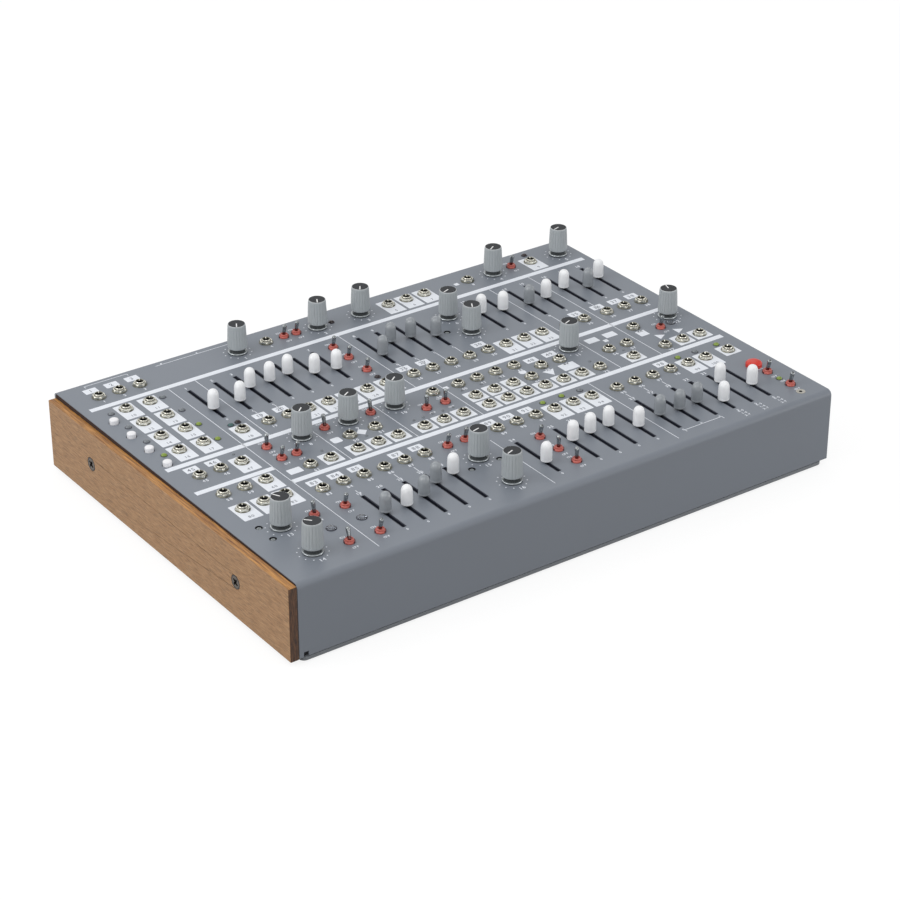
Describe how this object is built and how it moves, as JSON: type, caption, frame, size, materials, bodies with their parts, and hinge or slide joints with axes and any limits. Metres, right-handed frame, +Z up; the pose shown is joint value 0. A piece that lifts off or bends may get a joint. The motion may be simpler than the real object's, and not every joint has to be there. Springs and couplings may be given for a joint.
{
  "type": "modular synthesizer",
  "caption": "Desktop modular synthesizer: low steel case with a wooden cheek, and a flat panel of patch jacks, knobs, slide controls, toggles and buttons.",
  "frame": {"origin": "centre of the base of the bounding box, on the surface that the feet stand on", "axes": "+X to the right along the front edge as the player sees it, +Y to the rear, +Z up"},
  "size_m": [0.4364, 0.305, 0.0791],
  "materials": {
    "powder_coat": "blue-grey satin paint on folded steel sheet, with white printing",
    "tray_coat": "grey satin paint on folded steel sheet",
    "oiled_wood": "oiled tan hardwood, grain along its length",
    "black_steel": "blackened steel",
    "jack_metal": "bright nickel on nuts and levers, red collars, dark board below",
    "knob_grey": "fluted grey plastic with a black top and a white pointer",
    "cap_white": "smooth white plastic",
    "cap_grey": "smooth mid-grey plastic",
    "button_white": "glossy white plastic",
    "button_red": "glossy red plastic"
  },
  "bodies": {
    "case": {"front_panel": "powder_coat", "base_tray": "tray_coat", "left_cheek": "oiled_wood", "cheek_fixings": "black_steel", "control_board": "jack_metal"},
    "knob_rear_1": {"knob_rear_1": "knob_grey"},
    "knob_rear_2": {"knob_rear_2": "knob_grey"},
    "knob_rear_3": {"knob_rear_3": "knob_grey"},
    "knob_rear_4": {"knob_rear_4": "knob_grey"},
    "knob_rear_5": {"knob_rear_5": "knob_grey"},
    "knob_upper_1": {"knob_upper_1": "knob_grey"},
    "knob_upper_2": {"knob_upper_2": "knob_grey"},
    "knob_middle_1": {"knob_middle_1": "knob_grey"},
    "knob_middle_2": {"knob_middle_2": "knob_grey"},
    "knob_middle_3": {"knob_middle_3": "knob_grey"},
    "knob_middle_4": {"knob_middle_4": "knob_grey"},
    "knob_middle_5": {"knob_middle_5": "knob_grey"},
    "knob_front_1": {"knob_front_1": "knob_grey"},
    "knob_front_2": {"knob_front_2": "knob_grey"},
    "knob_front_3": {"knob_front_3": "knob_grey"},
    "knob_front_4": {"knob_front_4": "knob_grey"},
    "slider_rear_1": {"slider_rear_1": "cap_white"},
    "slider_rear_2": {"slider_rear_2": "cap_white"},
    "slider_rear_3": {"slider_rear_3": "cap_white"},
    "slider_rear_4": {"slider_rear_4": "cap_white"},
    "slider_rear_5": {"slider_rear_5": "cap_white"},
    "slider_rear_6": {"slider_rear_6": "cap_white"},
    "slider_rear_7": {"slider_rear_7": "cap_white"},
    "slider_rear_8": {"slider_rear_8": "cap_grey"},
    "slider_rear_9": {"slider_rear_9": "cap_grey"},
    "slider_rear_10": {"slider_rear_10": "cap_grey"},
    "slider_rear_11": {"slider_rear_11": "cap_grey"},
    "slider_rear_12": {"slider_rear_12": "cap_white"},
    "slider_rear_13": {"slider_rear_13": "cap_white"},
    "slider_rear_14": {"slider_rear_14": "cap_grey"},
    "slider_rear_15": {"slider_rear_15": "cap_white"},
    "slider_rear_16": {"slider_rear_16": "cap_white"},
    "slider_rear_17": {"slider_rear_17": "cap_grey"},
    "slider_rear_18": {"slider_rear_18": "cap_white"},
    "slider_front_1": {"slider_front_1": "cap_grey"},
    "slider_front_2": {"slider_front_2": "cap_white"},
    "slider_front_3": {"slider_front_3": "cap_grey"},
    "slider_front_4": {"slider_front_4": "cap_grey"},
    "slider_front_5": {"slider_front_5": "cap_white"},
    "slider_front_6": {"slider_front_6": "cap_white"},
    "slider_front_7": {"slider_front_7": "cap_white"},
    "slider_front_8": {"slider_front_8": "cap_white"},
    "slider_front_9": {"slider_front_9": "cap_white"},
    "slider_front_10": {"slider_front_10": "cap_white"},
    "slider_front_11": {"slider_front_11": "cap_grey"},
    "slider_front_12": {"slider_front_12": "cap_grey"},
    "slider_front_13": {"slider_front_13": "cap_grey"},
    "slider_front_14": {"slider_front_14": "cap_white"},
    "slider_front_15": {"slider_front_15": "cap_white"},
    "slider_front_16": {"slider_front_16": "cap_white"},
    "white_button_1": {"white_button_1": "button_white"},
    "white_button_2": {"white_button_2": "button_white"},
    "white_button_3": {"white_button_3": "button_white"},
    "white_button_4": {"white_button_4": "button_white"},
    "red_button": {"red_button": "button_red"}
  },
  "joints": [
    {"name": "knob_rear_1_turn", "type": "hinge", "parent": "case", "child": "knob_rear_1", "pos_m": [-0.07919, 0.13167, 0.0569], "axis": [0, 0, 1], "range_deg": [-300, 0]},
    {"name": "knob_rear_2_turn", "type": "hinge", "parent": "case", "child": "knob_rear_2", "pos_m": [-0.01249, 0.13197, 0.0569], "axis": [0, 0, 1], "range_deg": [-300, 0]},
    {"name": "knob_rear_3_turn", "type": "hinge", "parent": "case", "child": "knob_rear_3", "pos_m": [0.02418, 0.13197, 0.0569], "axis": [0, 0, 1], "range_deg": [-295, 5]},
    {"name": "knob_rear_4_turn", "type": "hinge", "parent": "case", "child": "knob_rear_4", "pos_m": [0.14192, 0.13176, 0.0569], "axis": [0, 0, 1], "range_deg": [-273, 27]},
    {"name": "knob_rear_5_turn", "type": "hinge", "parent": "case", "child": "knob_rear_5", "pos_m": [0.2022, 0.13136, 0.0569], "axis": [0, 0, 1], "range_deg": [-258, 42]},
    {"name": "knob_upper_1_turn", "type": "hinge", "parent": "case", "child": "knob_upper_1", "pos_m": [0.07222, 0.0911, 0.0569], "axis": [0, 0, 1], "range_deg": [-260, 40]},
    {"name": "knob_upper_2_turn", "type": "hinge", "parent": "case", "child": "knob_upper_2", "pos_m": [0.07222, 0.06252, 0.0569], "axis": [0, 0, 1], "range_deg": [-300, 0]},
    {"name": "knob_middle_1_turn", "type": "hinge", "parent": "case", "child": "knob_middle_1", "pos_m": [-0.1098, 0.0011, 0.0569], "axis": [0, 0, 1], "range_deg": [-282, 18]},
    {"name": "knob_middle_2_turn", "type": "hinge", "parent": "case", "child": "knob_middle_2", "pos_m": [-0.07291, 0.0014, 0.0569], "axis": [0, 0, 1], "range_deg": [-271, 29]},
    {"name": "knob_middle_3_turn", "type": "hinge", "parent": "case", "child": "knob_middle_3", "pos_m": [-0.0355, 0.00153, 0.0569], "axis": [0, 0, 1], "range_deg": [-277, 23]},
    {"name": "knob_middle_4_turn", "type": "hinge", "parent": "case", "child": "knob_middle_4", "pos_m": [0.1116, 0.0011, 0.0569], "axis": [0, 0, 1], "range_deg": [-262, 38]},
    {"name": "knob_middle_5_turn", "type": "hinge", "parent": "case", "child": "knob_middle_5", "pos_m": [0.20122, 0.00153, 0.0569], "axis": [0, 0, 1], "range_deg": [-132, 168]},
    {"name": "knob_front_1_turn", "type": "hinge", "parent": "case", "child": "knob_front_1", "pos_m": [-0.18321, -0.08927, 0.0569], "axis": [0, 0, 1], "range_deg": [-178, 122]},
    {"name": "knob_front_2_turn", "type": "hinge", "parent": "case", "child": "knob_front_2", "pos_m": [-0.18321, -0.12554, 0.0569], "axis": [0, 0, 1], "range_deg": [-192, 108]},
    {"name": "knob_front_3_turn", "type": "hinge", "parent": "case", "child": "knob_front_3", "pos_m": [-0.03219, -0.08927, 0.0569], "axis": [0, 0, 1], "range_deg": [-253, 47]},
    {"name": "knob_front_4_turn", "type": "hinge", "parent": "case", "child": "knob_front_4", "pos_m": [-0.03219, -0.12554, 0.0569], "axis": [0, 0, 1], "range_deg": [-260, 40]},
    {"name": "slider_rear_1_slide", "type": "slide", "parent": "case", "child": "slider_rear_1", "axis": [0, 1, 0], "range_m": [-0.01295, 0.03155]},
    {"name": "slider_rear_2_slide", "type": "slide", "parent": "case", "child": "slider_rear_2", "axis": [0, 1, 0], "range_m": [-0.01237, 0.03213]},
    {"name": "slider_rear_3_slide", "type": "slide", "parent": "case", "child": "slider_rear_3", "axis": [0, 1, 0], "range_m": [-0.02536, 0.01913]},
    {"name": "slider_rear_4_slide", "type": "slide", "parent": "case", "child": "slider_rear_4", "axis": [0, 1, 0], "range_m": [-0.02536, 0.01913]},
    {"name": "slider_rear_5_slide", "type": "slide", "parent": "case", "child": "slider_rear_5", "axis": [0, 1, 0], "range_m": [-0.02737, 0.01713]},
    {"name": "slider_rear_6_slide", "type": "slide", "parent": "case", "child": "slider_rear_6", "axis": [0, 1, 0], "range_m": [-0.01784, 0.02666]},
    {"name": "slider_rear_7_slide", "type": "slide", "parent": "case", "child": "slider_rear_7", "axis": [0, 1, 0], "range_m": [-0.01433, 0.03017]},
    {"name": "slider_rear_8_slide", "type": "slide", "parent": "case", "child": "slider_rear_8", "axis": [0, 1, 0], "range_m": [-0.01335, 0.03115]},
    {"name": "slider_rear_9_slide", "type": "slide", "parent": "case", "child": "slider_rear_9", "axis": [0, 1, 0], "range_m": [-0.02683, 0.01767]},
    {"name": "slider_rear_10_slide", "type": "slide", "parent": "case", "child": "slider_rear_10", "axis": [0, 1, 0], "range_m": [-0.02483, 0.01967]},
    {"name": "slider_rear_11_slide", "type": "slide", "parent": "case", "child": "slider_rear_11", "axis": [0, 1, 0], "range_m": [-0.01633, 0.02817]},
    {"name": "slider_rear_12_slide", "type": "slide", "parent": "case", "child": "slider_rear_12", "axis": [0, 1, 0], "range_m": [-0.02714, 0.01735]},
    {"name": "slider_rear_13_slide", "type": "slide", "parent": "case", "child": "slider_rear_13", "axis": [0, 1, 0], "range_m": [-0.02216, 0.02234]},
    {"name": "slider_rear_14_slide", "type": "slide", "parent": "case", "child": "slider_rear_14", "axis": [0, 1, 0], "range_m": [-0.01967, 0.02483]},
    {"name": "slider_rear_15_slide", "type": "slide", "parent": "case", "child": "slider_rear_15", "axis": [0, 1, 0], "range_m": [-0.02034, 0.02416]},
    {"name": "slider_rear_16_slide", "type": "slide", "parent": "case", "child": "slider_rear_16", "axis": [0, 1, 0], "range_m": [-0.02563, 0.01887]},
    {"name": "slider_rear_17_slide", "type": "slide", "parent": "case", "child": "slider_rear_17", "axis": [0, 1, 0], "range_m": [-0.01713, 0.02737]},
    {"name": "slider_rear_18_slide", "type": "slide", "parent": "case", "child": "slider_rear_18", "axis": [0, 1, 0], "range_m": [-0.02514, 0.01936]},
    {"name": "slider_front_1_slide", "type": "slide", "parent": "case", "child": "slider_front_1", "axis": [0, 1, 0], "range_m": [-0.01976, 0.02474]},
    {"name": "slider_front_2_slide", "type": "slide", "parent": "case", "child": "slider_front_2", "axis": [0, 1, 0], "range_m": [-0.01905, 0.02545]},
    {"name": "slider_front_3_slide", "type": "slide", "parent": "case", "child": "slider_front_3", "axis": [0, 1, 0], "range_m": [-0.02274, 0.02176]},
    {"name": "slider_front_4_slide", "type": "slide", "parent": "case", "child": "slider_front_4", "axis": [0, 1, 0], "range_m": [-0.03226, 0.01224]},
    {"name": "slider_front_5_slide", "type": "slide", "parent": "case", "child": "slider_front_5", "axis": [0, 1, 0], "range_m": [-0.03547, 0.00903]},
    {"name": "slider_front_6_slide", "type": "slide", "parent": "case", "child": "slider_front_6", "axis": [0, 1, 0], "range_m": [-0.01277, 0.03173]},
    {"name": "slider_front_7_slide", "type": "slide", "parent": "case", "child": "slider_front_7", "axis": [0, 1, 0], "range_m": [-0.02576, 0.01874]},
    {"name": "slider_front_8_slide", "type": "slide", "parent": "case", "child": "slider_front_8", "axis": [0, 1, 0], "range_m": [-0.02755, 0.01696]},
    {"name": "slider_front_9_slide", "type": "slide", "parent": "case", "child": "slider_front_9", "axis": [0, 1, 0], "range_m": [-0.02804, 0.01647]},
    {"name": "slider_front_10_slide", "type": "slide", "parent": "case", "child": "slider_front_10", "axis": [0, 1, 0], "range_m": [-0.01593, 0.02857]},
    {"name": "slider_front_11_slide", "type": "slide", "parent": "case", "child": "slider_front_11", "axis": [0, 1, 0], "range_m": [-0.02025, 0.02425]},
    {"name": "slider_front_12_slide", "type": "slide", "parent": "case", "child": "slider_front_12", "axis": [0, 1, 0], "range_m": [-0.01873, 0.02577]},
    {"name": "slider_front_13_slide", "type": "slide", "parent": "case", "child": "slider_front_13", "axis": [0, 1, 0], "range_m": [-0.01954, 0.02496]},
    {"name": "slider_front_14_slide", "type": "slide", "parent": "case", "child": "slider_front_14", "axis": [0, 1, 0], "range_m": [-0.01046, 0.03404]},
    {"name": "slider_front_15_slide", "type": "slide", "parent": "case", "child": "slider_front_15", "axis": [0, 1, 0], "range_m": [-0.03275, 0.01175]},
    {"name": "slider_front_16_slide", "type": "slide", "parent": "case", "child": "slider_front_16", "axis": [0, 1, 0], "range_m": [-0.01775, 0.02674]},
    {"name": "white_button_1_press", "type": "slide", "parent": "case", "child": "white_button_1", "axis": [0, 0, 1], "range_m": [-0.0008, 0], "stiffness_N_per_m": 600, "springref_m": 0.0006},
    {"name": "white_button_2_press", "type": "slide", "parent": "case", "child": "white_button_2", "axis": [0, 0, 1], "range_m": [-0.0008, 0], "stiffness_N_per_m": 600, "springref_m": 0.0006},
    {"name": "white_button_3_press", "type": "slide", "parent": "case", "child": "white_button_3", "axis": [0, 0, 1], "range_m": [-0.0008, 0], "stiffness_N_per_m": 600, "springref_m": 0.0006},
    {"name": "white_button_4_press", "type": "slide", "parent": "case", "child": "white_button_4", "axis": [0, 0, 1], "range_m": [-0.0008, 0], "stiffness_N_per_m": 600, "springref_m": 0.0006},
    {"name": "red_button_press", "type": "slide", "parent": "case", "child": "red_button", "axis": [0, 0, 1], "range_m": [-0.0008, 0], "stiffness_N_per_m": 600, "springref_m": 0.0006}
  ]
}
